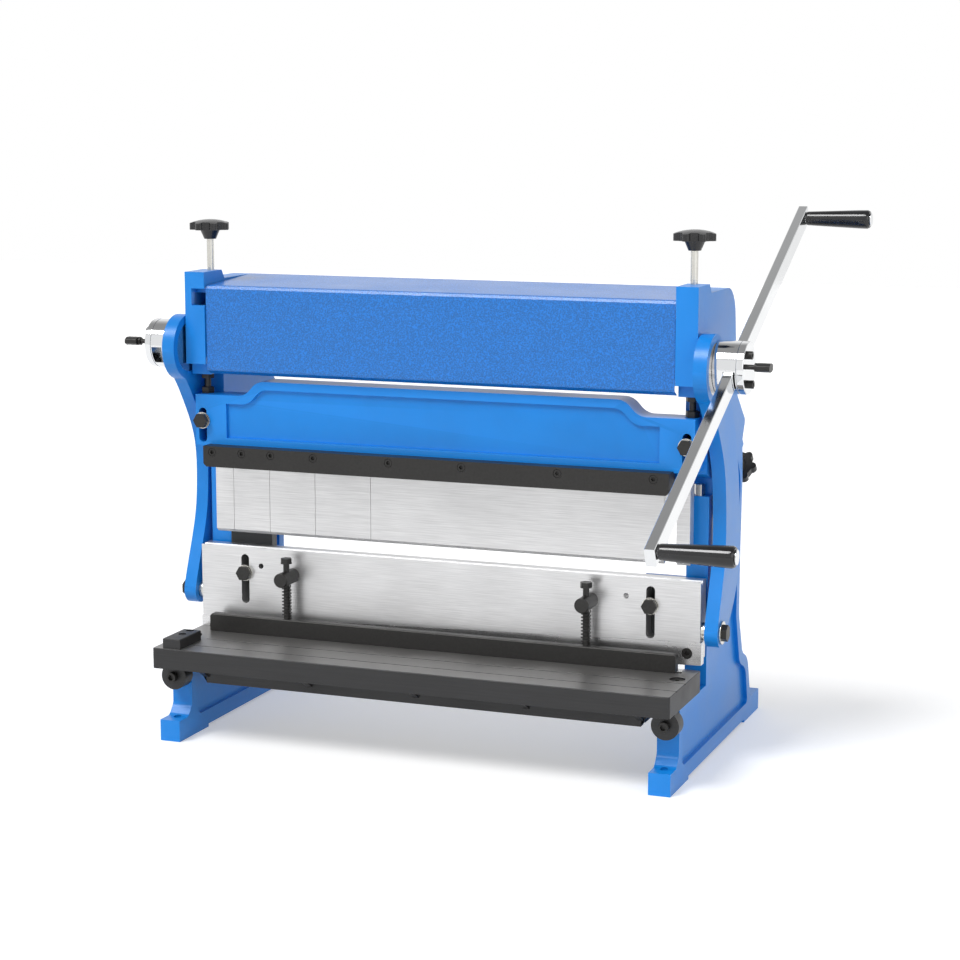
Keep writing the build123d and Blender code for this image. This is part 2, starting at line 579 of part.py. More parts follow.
def jack_lock_nuts():
    """Nuts that lock the jack bolts on the beam's ends."""
    pieces = []
    for side in (-1, 1):
        nut = hex_along_z(15, BEAM_END_TOP, BEAM_END_TOP + 7.5, side * FRAME_MID, JACK_Y)
        pieces.append(nut - rod_z(BEAM_END_TOP - 1, BEAM_END_TOP + 9, side * FRAME_MID, JACK_Y, 4.0 + RUNNING))
    return pieces


def ledge_bolts():
    """Hexagon bolts in the ledges on top of the columns."""
    pieces = []
    for side in (-1, 1):
        x, y = side * FRAME_MID, COLUMN_FRONT + 7
        pieces.append(rod_z(LEDGE_Z - 19, LEDGE_Z, x, y, 4.0) + hex_along_z(12, LEDGE_Z, LEDGE_Z + 14, x, y))
    return pieces


def finger_section(top):
    """Cross-section of a brake finger: flat face, bending edge below, a step under the beam."""
    tip, back = FINGER_FRONT + 4, BEAM_BACK - 0.1
    return [(FINGER_FRONT, FINGER_TIP + 4), (tip, FINGER_TIP), (back, FINGER_TIP + back - tip),
            (back, top), (FINGER_FRONT, top)]


def finger(index):
    """One straight finger, with a hair's gap to the next."""
    x0 = FINGER_START + sum(FINGER_WIDTHS[:index])
    return slab_x(finger_section(FINGER_TOP), x0 + 0.15, x0 + FINGER_WIDTHS[index] - 0.15)


def end_finger():
    """Last finger: held under the clamp, with a toe that reaches past the clamp's end."""
    x0 = FINGER_END + 0.15
    toe = 15.0
    body = slab_x(finger_section(FINGER_TOP), x0, x0 + 31.5)
    return body - box(x0 - 1, x0 + toe, FINGER_FRONT - 1, BEAM_BACK + 1, FINGER_TIP - 1, 320)


def finger_clamp_bar():
    """Bar that pinches the fingers' tops against the beam's nose."""
    x0, x1, foot = CLAMP_START, CLAMP_END, CLAMP_TOP - 26.3
    body = box(x0, x1, CLAMP_FRONT, BEAM_FRONT - 0.1, foot, CLAMP_TOP)
    body = chamfer(body.edges().filter_by(Axis.Y).group_by(Axis.Z)[0], 4)
    body += box(x0 + 4, x1 - 4, BEAM_FRONT - 1, FINGER_FRONT - 0.1, foot, BEAM_BOTTOM - 0.3)
    for x in CLAMP_SCREWS_X:
        body -= rod_y(CLAMP_FRONT - 1, FINGER_FRONT + 1, x, CLAMP_SCREW_Z, 3.2)
        body -= rod_y(CLAMP_FRONT - 1, CLAMP_FRONT + 6.2, x, CLAMP_SCREW_Z, 5.2)
    return body


def finger_clamp_screws():
    """Socket screws through the clamp bar, over the fingers, into the beam's nose."""
    return [cap_screw_y(CLAMP_FRONT + 6.2, 59, x, CLAMP_SCREW_Z, 6) for x in CLAMP_SCREWS_X]


# ---- rolls -------------------------------------------------------------------------------------------
ROLL_LEFT = -FRAME_IN + 1.5
ROLL_RIGHT = FRAME_IN - GEAR_WIDTH - 3.0
GROOVE_SIZES = (2.0, 3.0, 4.0)


def roll_body(y, z, grooves):
    """A roll's barrel, with wire grooves near its left end where it has them."""
    body = rod_x(ROLL_LEFT, ROLL_RIGHT, y, z, ROLL_R)
    if grooves:
        for i, r in enumerate(GROOVE_SIZES):
            ring = Pos(ROLL_LEFT + 12 + 12 * i, y, z) * Rot(0, 90, 0) * Torus(ROLL_R, r)
            body -= ring
    return body


def lower_roll():
    """Driven roll, one piece with the shaft that carries the eccentrics and the hubs."""
    body = roll_body(SHAFT_Y, SHAFT_Z, True)
    return body + rod_x(-HUB_IN - 5, HUB_IN + 5, SHAFT_Y, SHAFT_Z, ROLL_JOURNAL_R)


def upper_roll():
    """Pinch roll above the lower one."""
    return roll_body(SHAFT_Y, UPPER_Z, False) + rod_x(1 - SLOT_OUT, SLOT_OUT - 1, SHAFT_Y, UPPER_Z, SIDE_JOURNAL_R)


def rear_roll():
    """Forming roll behind the pair."""
    body = roll_body(REAR_ROLL_Y, REAR_ROLL_Z, True)
    return body + rod_x(1 - SLOT_OUT, SLOT_OUT - 1, REAR_ROLL_Y, REAR_ROLL_Z, SIDE_JOURNAL_R)


def gear(y, z, bore, turned):
    """Spur gear at the rolls' right end, turned by a share of a tooth."""
    pitch_r = (2 * ROLL_R + ROLL_NIP) / 2
    outer, root = pitch_r + 1.7, pitch_r - 2.4
    points = []
    for i in range(GEAR_TEETH):
        for share, r in ((-0.27, root), (-0.13, outer), (0.13, outer), (0.27, root)):
            at = 2 * math.pi * (i + share + turned) / GEAR_TEETH
            points.append((y + r * math.cos(at), z + r * math.sin(at)))
    x0 = FRAME_IN - GEAR_WIDTH - 1.5
    return slab_x(points, x0, x0 + GEAR_WIDTH) - rod_x(x0 - 1, FRAME_IN, y, z, bore)


def lower_roll_bushes():
    """Plain bushes pressed into the frames for the lower roll's shaft."""
    pieces = []
    for side in (-1, 1):
        x0, x1 = side * FRAME_IN, side * FRAME_OUT
        bush = rod_x(x0, x1, SHAFT_Y, SHAFT_Z, 15.0)
        pieces.append(bush - rod_x(x0 - side, x1 + side, SHAFT_Y, SHAFT_Z, ROLL_JOURNAL_R + RUNNING))
    return pieces


def upper_bearing_blocks():
    """Blocks that carry the upper roll and slide in the heads' slots."""
    pieces = []
    for side in (-1, 1):
        x0, x1 = sorted((side * (FRAME_IN + 0.3), side * (SLOT_OUT - 0.3)))
        block = box(x0, x1, SHAFT_Y - 16 + SLIDING, SHAFT_Y + 22 - SLIDING,
                    UPPER_Z - BLOCK / 2 + 0.1, UPPER_Z + BLOCK / 2)
        block -= rod_x(x0 - 1, x1 + 1, SHAFT_Y, UPPER_Z, SIDE_JOURNAL_R + RUNNING)
        pieces.append(block - rod_z(UPPER_Z + 11, UPPER_Z + BLOCK, side * BLOCK_MID, TOP_SCREW_Y, 3.6))
    return pieces


TOP_KNOB_Z = HEAD_TOP + 39.3


def top_screw(side):
    """Adjusting screw over an upper bearing block, with a plain turned-down end."""
    x, neck = side * BLOCK_MID, SLOT_TOP - 8
    return rod_z(neck, TOP_KNOB_Z + 8, x, TOP_SCREW_Y, 4.4) + rod_z(UPPER_Z + 11, neck, x, TOP_SCREW_Y, 3.5)


def top_knob(side):
    """Star knob on an upper adjusting screw."""
    return Pos(side * BLOCK_MID, TOP_SCREW_Y, TOP_KNOB_Z) * star_knob()


def rear_bearing_blocks():
    """Blocks that carry the rear roll and slide in the heads' sloping slots."""
    pieces = []
    for side in (-1, 1):
        block = Rot(-REAR_TILT, 0, 0) * Box(SLOT_OUT - FRAME_IN - 0.6, BLOCK, BLOCK)
        block = Pos(side * BLOCK_MID, REAR_ROLL_Y, REAR_ROLL_Z) * block
        block -= rod_x(side * (FRAME_IN - 5), side * FRAME_OUT, REAR_ROLL_Y, REAR_ROLL_Z,
                       SIDE_JOURNAL_R + RUNNING)
        pieces.append(block - rod_on_rear_axis(side * BLOCK_MID, 11, 20, 3.1))
    return pieces


REAR_KNOB_AT = 223.0     # from the rear roll's centre to the knob's hub


def rear_screw(side):
    """Adjusting screw that pushes a rear bearing block up its slot."""
    x = side * BLOCK_MID
    return rod_on_rear_axis(x, 15, REAR_KNOB_AT + 12, 4.0) + rod_on_rear_axis(x, 11, 15, 3.0)


def rear_knob(side):
    """Star knob on a rear adjusting screw."""
    y, z = along_rear_axis(REAR_KNOB_AT)
    return Pos(side * BLOCK_MID, y, z) * Rot(-90 - REAR_TILT, 0, 0) * star_knob()


# ---- cover --------------------------------------------------------------------------------------------
COVER_HALF = FRAME_IN - 1.0
SHEET = 1.2
COVER_FRONT = -117.0
COVER_REAR = 12.0
COVER_EDGE = 565.8       # height of the fold between the cover's front and its top
COVER_SLOPE = 0.0457     # how steeply the top rises to the rear
COVER_SCREWS_Y = (-52, -28)


def cover_top(y):
    """Height of the cover's sloping top at a place between its front and its rear."""
    return COVER_EDGE + COVER_SLOPE * (y - COVER_FRONT - 4.5)


def cover_line():
    """Side view of the cover's sheet, from its lower lip to its rear lip."""
    return [(COVER_FRONT + 9, 455), (COVER_FRONT + 0.6, 459.6), (COVER_FRONT, 462),
            (COVER_FRONT, COVER_EDGE - 4), (COVER_FRONT + 1.5, COVER_EDGE - 1), (COVER_FRONT + 4.5, COVER_EDGE),
            (COVER_REAR - 2, cover_top(COVER_REAR - 2)), (COVER_REAR, COVER_EDGE + 3.5),
            (COVER_REAR, COVER_EDGE - 8)]


def roll_cover():
    """Folded sheet cover over the rolls, open to the rear, with a tab at each end."""
    line = Polyline(*[(0, y, z) for y, z in cover_line()])
    strip = make_face(offset(line, amount=SHEET / 2, side=Side.BOTH))
    body = Pos(-COVER_HALF, 0, 0) * extrude(strip, amount=2 * COVER_HALF, dir=(1, 0, 0))
    foot = COVER_SCREW_Z - 10
    for side in (-1, 1):
        x0, x1 = sorted((side * COVER_HALF, side * (COVER_HALF - 2.0)))
        tab = slab_x([(-62, foot), (-18, foot), (-18, cover_top(-18)), (-62, cover_top(-62))], x0, x1)
        for y in COVER_SCREWS_Y:
            tab -= rod_x(x0 - 1, x1 + 1, y, COVER_SCREW_Z, 2.7)
        body += tab
    return body


def cover_screws():
    """Screws through the cover's tabs into the frames."""
    pieces = []
    for side in (-1, 1):
        for y in COVER_SCREWS_Y:
            inner = side * (COVER_HALF - 2.0)
            screw = rod_x(inner - side * 3, inner, y, COVER_SCREW_Z, 4.6)
            pieces.append(screw + rod_x(inner, side * (FRAME_IN + 10), y, COVER_SCREW_Z, 2.5))
    return pieces


# ---- eccentric drive ------------------------------------------------------------------------------------
def eccentric_sheaves():
    """Eccentric discs that ride on the shaft inside the arms' eyes."""
    pieces = []
    for side in (-1, 1):
        x0, x1 = side * (ARM_IN + 0.2), side * (ARM_OUT + 0.1)
        sheave = rod_x(x0, x1, EYE_Y, EYE_Z, SHEAVE_R)
        pieces.append(sheave - rod_x(x0 - side, x1 + side, SHAFT_Y, SHAFT_Z, ROLL_JOURNAL_R + RUNNING))
    return pieces


def arm_edge(points):
    """A smooth edge of an arm through a few points."""
    return Spline(*[(0, y, z) for y, z in points])


def right_arm():
    """Crescent-shaped arm from the eccentric down to the ram's pivot pin, leaning outwards below."""
    hole_y = PIN_Y - 0.95
    front = [(EYE_Y - 37, EYE_Z - 18), (-119, 447), (-92, 412), (-66, 366), (-58.5, 313), (-63, 262),
             (-80, 214), (hole_y - 17, PIN_Z + 5)]
    rear = [(hole_y + 16, PIN_Z - 6), (-28, 187), (-4, 222), (4, 262), (2, 330), (-14, 400), (-44, 456),
            (EYE_Y + 38, EYE_Z + 15)]
    blade = make_face([arm_edge(front), Line((0, *front[-1]), (0, *rear[0])), arm_edge(rear),
                       Line((0, *rear[-1]), (0, *front[0]))])
    x0, x1, bend, foot = ARM_IN, ARM_OUT, EYE_Z - ARM_EYE_R, PIN_Z + 72
    body = Pos(x0, 0, 0) * extrude(blade, amount=ARM_THICK + ARM_LEAN, dir=(1, 0, 0))
    body += rod_x(x0, x1 + ARM_LEAN, hole_y, PIN_Z, 17.5)
    leaning = [(x0, SHAFT_Z + 60), (x1, SHAFT_Z + 60), (x1, bend), (x1 + ARM_LEAN, foot),
               (x1 + ARM_LEAN, 0), (x0 + ARM_LEAN, 0), (x0 + ARM_LEAN, foot), (x0, bend)]
    body &= slab_y(leaning, -200, 200)
    body += rod_x(x0, x1, EYE_Y, EYE_Z, ARM_EYE_R)
    body -= rod_x(x0 - 1, x1 + 1, EYE_Y, EYE_Z, SHEAVE_R + RUNNING)
    return body - rod_x(x0 - 1, x1 + ARM_LEAN + 1, hole_y, PIN_Z, 6 + PIN_PLAY)


def arm_pivot_pins():
    """Shouldered bolts with washers that join the arms to the ram's ends."""
    pieces = []
    for side in (-1, 1):
        x_in, washer = side * (RAM_HALF - 25), side * (ARM_OUT + ARM_LEAN + 0.2)
        pin = rod_x(x_in, washer, PIN_Y, PIN_Z, 6.0)
        pin += rod_x(side * RAM_HALF, side * (ARM_IN + ARM_LEAN - 0.2), PIN_Y, PIN_Z, 11)
        pin += rod_x(washer, washer + side * 2, PIN_Y, PIN_Z, 14)
        x0, x1 = sorted((washer + side * 2, washer + side * 8))
        pieces.append(pin + hex_along_x(18, x0, x1, PIN_Y, PIN_Z))
    return pieces


# ---- hubs and crank -----------------------------------------------------------------------------------------
SCREW_CIRCLE = 19.0


def on_disc(angle):
    """A place on the disc's screw circle; the angle runs from the top towards the front."""
    at = math.radians(angle)
    return SHAFT_Y - SCREW_CIRCLE * math.sin(at), SHAFT_Z + SCREW_CIRCLE * math.cos(at)


def crank_frame(x):
    """Local frame of the crank bar: its length along local Y, its centre on the shaft's axis."""
    return Pos(x, SHAFT_Y, SHAFT_Z) * Rot(CRANK_ANGLE, 0, 0)


def right_hub():
    """Hub keyed to the shaft, with a slot for the crank bar."""
    body = rod_x(HUB_IN, HUB_OUT, SHAFT_Y, SHAFT_Z, HUB_R)
    body -= rod_x(HUB_IN - 1, HUB_IN + 5, SHAFT_Y, SHAFT_Z, ROLL_JOURNAL_R)
    slot = Box(CRANK_THICK + 2, 2 * HUB_R + 2, CRANK_WIDTH + 2 * SLIDING)
    body -= crank_frame(BAR_X) * slot
    for angle in (33, 80, 171):
        body -= rod_x(HUB_OUT - 1.5, HUB_OUT + 1, *on_disc(angle), 3.0)
    return body


def right_disc():
    """Clutch disc on the hub's outer face."""
    body = rod_x(HUB_OUT + 0.8, DISC_OUT, SHAFT_Y, SHAFT_Z, HUB_R)
    body += rod_x(HUB_OUT, HUB_OUT + 1, SHAFT_Y, SHAFT_Z, HUB_R - 1)
    body = chamfer(body.edges().group_by(Axis.X)[-1], 0.8)
    for angle in (33, 80, 171):
        body -= rod_x(HUB_OUT - 1, DISC_OUT + 1, *on_disc(angle), 3.0)
    return body


def hub_screws():
    """Socket screws through one clutch disc."""
    return [cap_screw_x(DISC_OUT, DISC_THICK + 1, *on_disc(angle), 6) for angle in (33, 171)]


def right_thumb_screw():
    """Winged screw that locks the clutch."""
    y, z = on_disc(80)
    body = rod_x(HUB_OUT - 1, DISC_OUT + 15, y, z, 2.9) + rod_x(DISC_OUT + 11, DISC_OUT + 18, y, z, 5.0)
    wing = [(y + u, z + v, 2) for u, v in ((-9, 2.5), (-9, -2.5), (-3.5, -5), (3.5, -5), (9, -2.5), (9, 2.5),
                                           (3.5, 5), (-3.5, 5))]
    return body + slab_x(wing, DISC_OUT + 14, DISC_OUT + 30)


def crank_bar():
    """Straight bar through the right hub, bored near each end for a grip's axle."""
    bar = Box(CRANK_THICK, 2 * CRANK_HALF, CRANK_WIDTH)
    bar = chamfer(bar.edges().filter_by(Axis.Y), 0.8)
    for end in (-1, 1):
        bar -= Pos(0, end * (CRANK_HALF - 12), 0) * Rot(0, 90, 0) * Cylinder(5.0, CRANK_THICK + 2)
    return crank_frame(BAR_X) * bar


def grip_place(end):
    """Where a grip's axis meets the bar's outer face."""
    at = math.radians(CRANK_ANGLE)
    reach = end * (CRANK_HALF - 12)
    return BAR_X + CRANK_THICK / 2, SHAFT_Y + reach * math.cos(at), SHAFT_Z + reach * math.sin(at)


def grip(end):
    """Tapered grip that turns on its axle."""
    x, y, z = grip_place(end)
    profile = [(6.1, 0.5), (8.2, 0.5), (8.8, 3), (11.6, GRIP_LENGTH - 14), (11.8, GRIP_LENGTH - 3),
               (10.3, GRIP_LENGTH), (6.1, GRIP_LENGTH)]
    face = make_face(Polyline(*[(r, 0, d) for r, d in profile], close=True))
    return Pos(x, y, z) * Rot(0, 90, 0) * revolve(face, Axis.Z)


def grip_axles():
    """Shouldered axles riveted into the crank bar."""
    pieces = []
    for end in (-1, 1):
        x, y, z = grip_place(end)
        axle = rod_x(x - CRANK_THICK, x, y, z, 5.0) + rod_x(x, x + GRIP_LENGTH + 0.4, y, z, 6.0)
        pieces.append(axle + rod_x(x + GRIP_LENGTH + 0.4, x + GRIP_LENGTH + 2, y, z, 8.0))
    return pieces


def both(shape):
    """A right-hand piece and its left-hand twin."""
    return [shape, other_side(shape)]


# ---- write every node -------------------------------------------------------------------------------------------
save("right_frame", right_frame())
save("left_frame", left_frame())
save("work_table", work_table())
save("lower_blade", lower_blade())
save("side_gauge", side_gauge())
save("table_screws", *table_screws())
save("ram_plate", ram_plate())
save("upper_blade", upper_blade())
save("upper_blade_screws", *upper_blade_screws())
save("ram_guide_blocks", *guide_blocks())
save("slot_bolts", *slot_bolts())
save("hold_down_bar", hold_down_bar())
save("hold_down_rods", *hold_down_rods())
save("cross_studs", *cross_studs())
save("left_hold_down_spring", spring(STUDS_X[0]))
save("right_hold_down_spring", spring(STUDS_X[1]))
save("brake_beam", brake_beam())
save("jack_lock_nuts", *jack_lock_nuts())
save("ledge_bolts", *ledge_bolts())
for number in range(len(FINGER_WIDTHS)):
    save(f"brake_finger_{number + 1}", finger(number))
save("end_finger", end_finger())
save("finger_clamp_bar", finger_clamp_bar())
save("finger_clamp_screws", *finger_clamp_screws())
save("lower_roll", lower_roll())
save("upper_roll", upper_roll())
save("rear_roll", rear_roll())
save("lower_roll_gear", gear(SHAFT_Y, SHAFT_Z, ROLL_JOURNAL_R, GEAR_TEETH / 4))
save("upper_roll_gear", gear(SHAFT_Y, UPPER_Z, SIDE_JOURNAL_R, 0.5 - GEAR_TEETH / 4))
save("lower_roll_bushes", *lower_roll_bushes())
save("upper_bearing_blocks", *upper_bearing_blocks())
save("rear_bearing_blocks", *rear_bearing_blocks())
for side, hand in ((-1, "left"), (1, "right")):
    save(f"{hand}_jack_bolt", jack_bolt(side))
    save(f"{hand}_top_screw", top_screw(side))
    save(f"{hand}_top_knob", top_knob(side))
    save(f"{hand}_rear_screw", rear_screw(side))
    save(f"{hand}_rear_knob", rear_knob(side))
save("roll_cover", roll_cover())
save("cover_screws", *cover_screws())
save("eccentric_sheaves", *eccentric_sheaves())
save("right_arm", right_arm())
save("left_arm", other_side(right_arm()))
save("arm_pivot_pins", *arm_pivot_pins())
save("shaft_hubs", *both(right_hub()))
save("clutch_discs", *both(right_disc()))
save("hub_screws", *[twin for screw in hub_screws() for twin in both(screw)])
save("right_thumb_screw", right_thumb_screw())
save("left_thumb_screw", other_side(right_thumb_screw()))
save("crank_bar", crank_bar())
save("lower_grip", grip(-1))
save("upper_grip", grip(1))
save("grip_axles", *grip_axles())
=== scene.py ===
"""Looks for a bench machine that shears, folds and rolls sheet metal.

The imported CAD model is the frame. Castings, plates, fasteners, knobs and the crank get
their rounded edges and finishes here, and a plain studio is set around them.
"""

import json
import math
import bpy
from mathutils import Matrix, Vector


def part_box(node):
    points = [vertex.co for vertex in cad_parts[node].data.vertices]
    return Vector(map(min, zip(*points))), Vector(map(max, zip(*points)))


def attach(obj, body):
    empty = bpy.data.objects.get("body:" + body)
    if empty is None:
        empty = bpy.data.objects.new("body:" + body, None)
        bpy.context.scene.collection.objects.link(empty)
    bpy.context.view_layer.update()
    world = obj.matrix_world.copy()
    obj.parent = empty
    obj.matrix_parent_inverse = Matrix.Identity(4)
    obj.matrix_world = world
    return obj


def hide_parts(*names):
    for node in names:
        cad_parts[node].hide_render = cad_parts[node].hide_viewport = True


bl_info = {
    "name": "Shear, brake and slip roll machine",
    "version": (1, 0, 0),
    "blender": (4, 5, 0),
    "location": "View3D > Sidebar > Sheet Machine",
    "description": "Finishes the castings, plates, fasteners, rolls and crank of a bench sheet-metal machine",
    "category": "Object",
}

import bpy
from mathutils import Vector

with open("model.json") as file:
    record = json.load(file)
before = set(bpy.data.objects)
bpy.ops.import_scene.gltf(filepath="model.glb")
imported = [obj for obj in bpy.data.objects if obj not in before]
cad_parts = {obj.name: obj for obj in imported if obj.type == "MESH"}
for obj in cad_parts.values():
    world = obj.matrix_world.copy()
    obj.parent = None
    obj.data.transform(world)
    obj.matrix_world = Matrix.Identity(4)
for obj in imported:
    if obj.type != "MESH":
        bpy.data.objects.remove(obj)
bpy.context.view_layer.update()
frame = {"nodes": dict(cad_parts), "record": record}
MM = 0.001
BODY_OF = {node: body for body, nodes in frame["record"]["behaviour"]["bodies"].items() for node in nodes}


# ---- sizes and colours that a user may change ---------------------------------------------------
class MachineSizes(bpy.types.PropertyGroup):
    casting_edge: bpy.props.FloatProperty(
        name="Casting edge", description="Radius of the painted castings' edges",
        default=2.2 * MM, min=0.2 * MM, max=4 * MM, unit="LENGTH")
    plate_edge: bpy.props.FloatProperty(
        name="Plate edge", description="Radius of the machined plates' edges",
        default=0.5 * MM, min=0.1 * MM, max=2 * MM, unit="LENGTH")
    knob_edge: bpy.props.FloatProperty(
        name="Knob edge", description="Radius of the star knobs' edges",
        default=1.8 * MM, min=0.2 * MM, max=3 * MM, unit="LENGTH")


class MachineColours(bpy.types.PropertyGroup):
    enamel: bpy.props.FloatVectorProperty(
        name="Enamel", description="Blue enamel of the castings", subtype="COLOR", size=3,
        default=(0.006, 0.225, 0.70), min=0, max=1)
    hammered: bpy.props.FloatVectorProperty(
        name="Hammered enamel", description="Blue enamel of the cover", subtype="COLOR", size=3,
        default=(0.004, 0.15, 0.52), min=0, max=1)
    steel: bpy.props.FloatVectorProperty(
        name="Ground steel", description="Ram, blades and fingers", subtype="COLOR", size=3,
        default=(0.68, 0.68, 0.685), min=0, max=1)
    blackened: bpy.props.FloatVectorProperty(
        name="Blackened steel", description="Bars, bolts and springs with a black oxide skin",
        subtype="COLOR", size=3,
        default=(0.030, 0.029, 0.028), min=0, max=1)
    black_iron: bpy.props.FloatVectorProperty(
        name="Blackened iron", description="Table and side gauge", subtype="COLOR", size=3,
        default=(0.028, 0.028, 0.029), min=0, max=1)
    plastic: bpy.props.FloatVectorProperty(
        name="Black plastic", description="Knobs and grips", subtype="COLOR", size=3,
        default=(0.012, 0.012, 0.013), min=0, max=1)


# ---- mesh work ------------------------------------------------------------------------------------
def choose(obj):
    """Make one object the only selected one."""
    if bpy.context.object and bpy.context.object.mode != "OBJECT":
        bpy.ops.object.mode_set(mode="OBJECT")
    bpy.ops.object.select_all(action="DESELECT")
    obj.select_set(True)
    bpy.context.view_layer.objects.active = obj
    return obj


def merged_copy(node, name):
    """A copy of a CAD node as one clean mesh, its flat faces whole again."""
    piece = bpy.data.objects.new(name, frame["nodes"][node].data.copy())
    bpy.context.scene.collection.objects.link(piece)
    choose(piece)
    bpy.ops.object.mode_set(mode="EDIT")
    bpy.ops.mesh.select_all(action="SELECT")
    bpy.ops.mesh.customdata_custom_splitnormals_clear()
    bpy.ops.mesh.remove_doubles(threshold=0.005 * MM)
    bpy.ops.mesh.mark_sharp(clear=True)
    bpy.ops.mesh.dissolve_limited(angle_limit=math.radians(0.6))
    bpy.ops.object.mode_set(mode="OBJECT")
    return piece


def round_edges(piece, width, segments=2, angle=32):
    """Round a piece's sharp edges with a bevel, and shade it smooth between them."""
    choose(piece)
    bevel = piece.modifiers.new("edges", "BEVEL")
    bevel.width = width
    bevel.segments = segments
    bevel.limit_method = "ANGLE"
    bevel.angle_limit = math.radians(angle)
    bevel.use_clamp_overlap = True
    bpy.ops.object.modifier_apply(modifier="edges")
    smooth(piece)


def smooth(piece, angle=34):
    """Shade a piece smooth up to an angle, with flat faces kept flat."""
    choose(piece)
    bpy.ops.object.shade_smooth_by_angle(angle=math.radians(angle))
    weighted = piece.modifiers.new("flats", "WEIGHTED_NORMAL")
    weighted.keep_sharp = True
    bpy.ops.object.modifier_apply(modifier="flats")


def paint(piece, material):
    """Give a piece one material."""
    piece.data.materials.clear()
    piece.data.materials.append(material)


def stand_for(piece, node, material):
    """A finished piece takes a CAD node's place, body and finish."""
    paint(piece, material)
    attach(piece, BODY_OF[node])
    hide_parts(node)
    return piece


def second_finish(piece, material, belongs):
    """Give the faces that a test picks out, by their centres and headings, a second material."""
    piece.data.materials.append(material)
    for face in piece.data.polygons:
        if belongs(face.center, face.normal):
            face.material_index = 1


def finish_node(node, material, width, segments=2, angle=32):
    """Replace a CAD node with a copy whose edges are rounded."""
    piece = merged_copy(node, f"{node}_finished")
    round_edges(piece, width, segments, angle)
    return stand_for(piece, node, material)


# ---- shared shader groups ---------------------------------------------------------------------------
def socket(group, name, kind, way, default=None):
    """Add one named socket to a node group."""
    made = group.interface.new_socket(name=name, in_out=way, socket_type=kind)
    if default is not None:
        made.default_value = default
    return made


def start_group(name):
    """A new shader node group with its input and output nodes."""
    group = bpy.data.node_groups.new(name, "ShaderNodeTree")
    return group, group.nodes.new("NodeGroupInput"), group.nodes.new("NodeGroupOutput")


def noise(tree, scale, detail=3.0, rough=0.5):
    """A noise texture node."""
    node = tree.nodes.new("ShaderNodeTexNoise")
    node.inputs["Scale"].default_value = scale
    node.inputs["Detail"].default_value = detail
    node.inputs["Roughness"].default_value = rough
    return node


def remap(tree, value, low, high, to_low=0.0, to_high=1.0):
    """Map a value from one range to another, clamped."""
    node = tree.nodes.new("ShaderNodeMapRange")
    for name, number in (("From Min", low), ("From Max", high), ("To Min", to_low), ("To Max", to_high)):
        node.inputs[name].default_value = number
    tree.links.new(value, node.inputs["Value"])
    return node.outputs["Result"]


def object_place(tree, stretch=(1, 1, 1)):
    """Object coordinates, stretched along the axes."""
    place = tree.nodes.new("ShaderNodeTexCoord")
    mapping = tree.nodes.new("ShaderNodeMapping")
    mapping.inputs["Scale"].default_value = stretch
    tree.links.new(place.outputs["Object"], mapping.inputs["Vector"])
    return mapping.outputs["Vector"]


def mottle_group():
    """Slow, cloudy variation: a mask from 0 to 1."""
    group, start, end = start_group("mottle")
    socket(group, "Vector", "NodeSocketVector", "INPUT")
    socket(group, "Scale", "NodeSocketFloat", "INPUT", 6.0)
    socket(group, "Mask", "NodeSocketFloat", "OUTPUT")
    cloud = noise(group, 6.0, 4.0, 0.55)
    group.links.new(start.outputs["Vector"], cloud.inputs["Vector"])
    group.links.new(start.outputs["Scale"], cloud.inputs["Scale"])
    group.links.new(remap(group, cloud.outputs["Fac"], 0.35, 0.65), end.inputs["Mask"])
    return group


def grinding_group():
    """Fine parallel grinding lines: a height and a mask."""
    group, start, end = start_group("grinding lines")
    socket(group, "Vector", "NodeSocketVector", "INPUT")
    socket(group, "Scale", "NodeSocketFloat", "INPUT", 900.0)
    socket(group, "Height", "NodeSocketFloat", "OUTPUT")
    socket(group, "Mask", "NodeSocketFloat", "OUTPUT")
    lines = noise(group, 900.0, 2.0, 0.6)
    group.links.new(start.outputs["Vector"], lines.inputs["Vector"])
    group.links.new(start.outputs["Scale"], lines.inputs["Scale"])
    group.links.new(lines.outputs["Fac"], end.inputs["Height"])
    group.links.new(remap(group, lines.outputs["Fac"], 0.3, 0.7), end.inputs["Mask"])
    return group


def edge_highlight_group():
    """Convex edges, from the shape's own pointiness, where a painted highlight goes: a mask from 0 to 1."""
    group, start, end = start_group("painted edge highlight")
    socket(group, "Low", "NodeSocketFloat", "INPUT", 0.52)
    socket(group, "Mask", "NodeSocketFloat", "OUTPUT")
    shape = group.nodes.new("ShaderNodeNewGeometry")
    spread = group.nodes.new("ShaderNodeMapRange")
    spread.inputs["From Max"].default_value = 0.62
    group.links.new(start.outputs["Low"], spread.inputs["From Min"])
    group.links.new(shape.outputs["Pointiness"], spread.inputs["Value"])
    group.links.new(spread.outputs["Result"], end.inputs["Mask"])
    return group


def place_group(tree, group, vector=None, **values):
    """Place a shared group in a material, with its own values."""
    node = tree.nodes.new("ShaderNodeGroup")
    node.node_tree = group
    for name, value in values.items():
        node.inputs[name].default_value = value
    if vector is not None:
        tree.links.new(vector, node.inputs["Vector"])
    return node


def mix_colours(tree, factor, first, second, share=1.0):
    """Blend two colours by a mask."""
    node = tree.nodes.new("ShaderNodeMix")
    node.data_type = "RGBA"
    node.inputs["A"].default_value = (*first, 1)
    node.inputs["B"].default_value = (*second, 1)
    tree.links.new(remap(tree, factor, 0, 1, 0, share), node.inputs["Factor"])
    return node.outputs["Result"]


def bump(tree, height, strength, distance):
    """A bump from a height."""
    node = tree.nodes.new("ShaderNodeBump")
    node.inputs["Strength"].default_value = strength
    node.inputs["Distance"].default_value = distance
    tree.links.new(height, node.inputs["Height"])
    return node.outputs["Normal"]


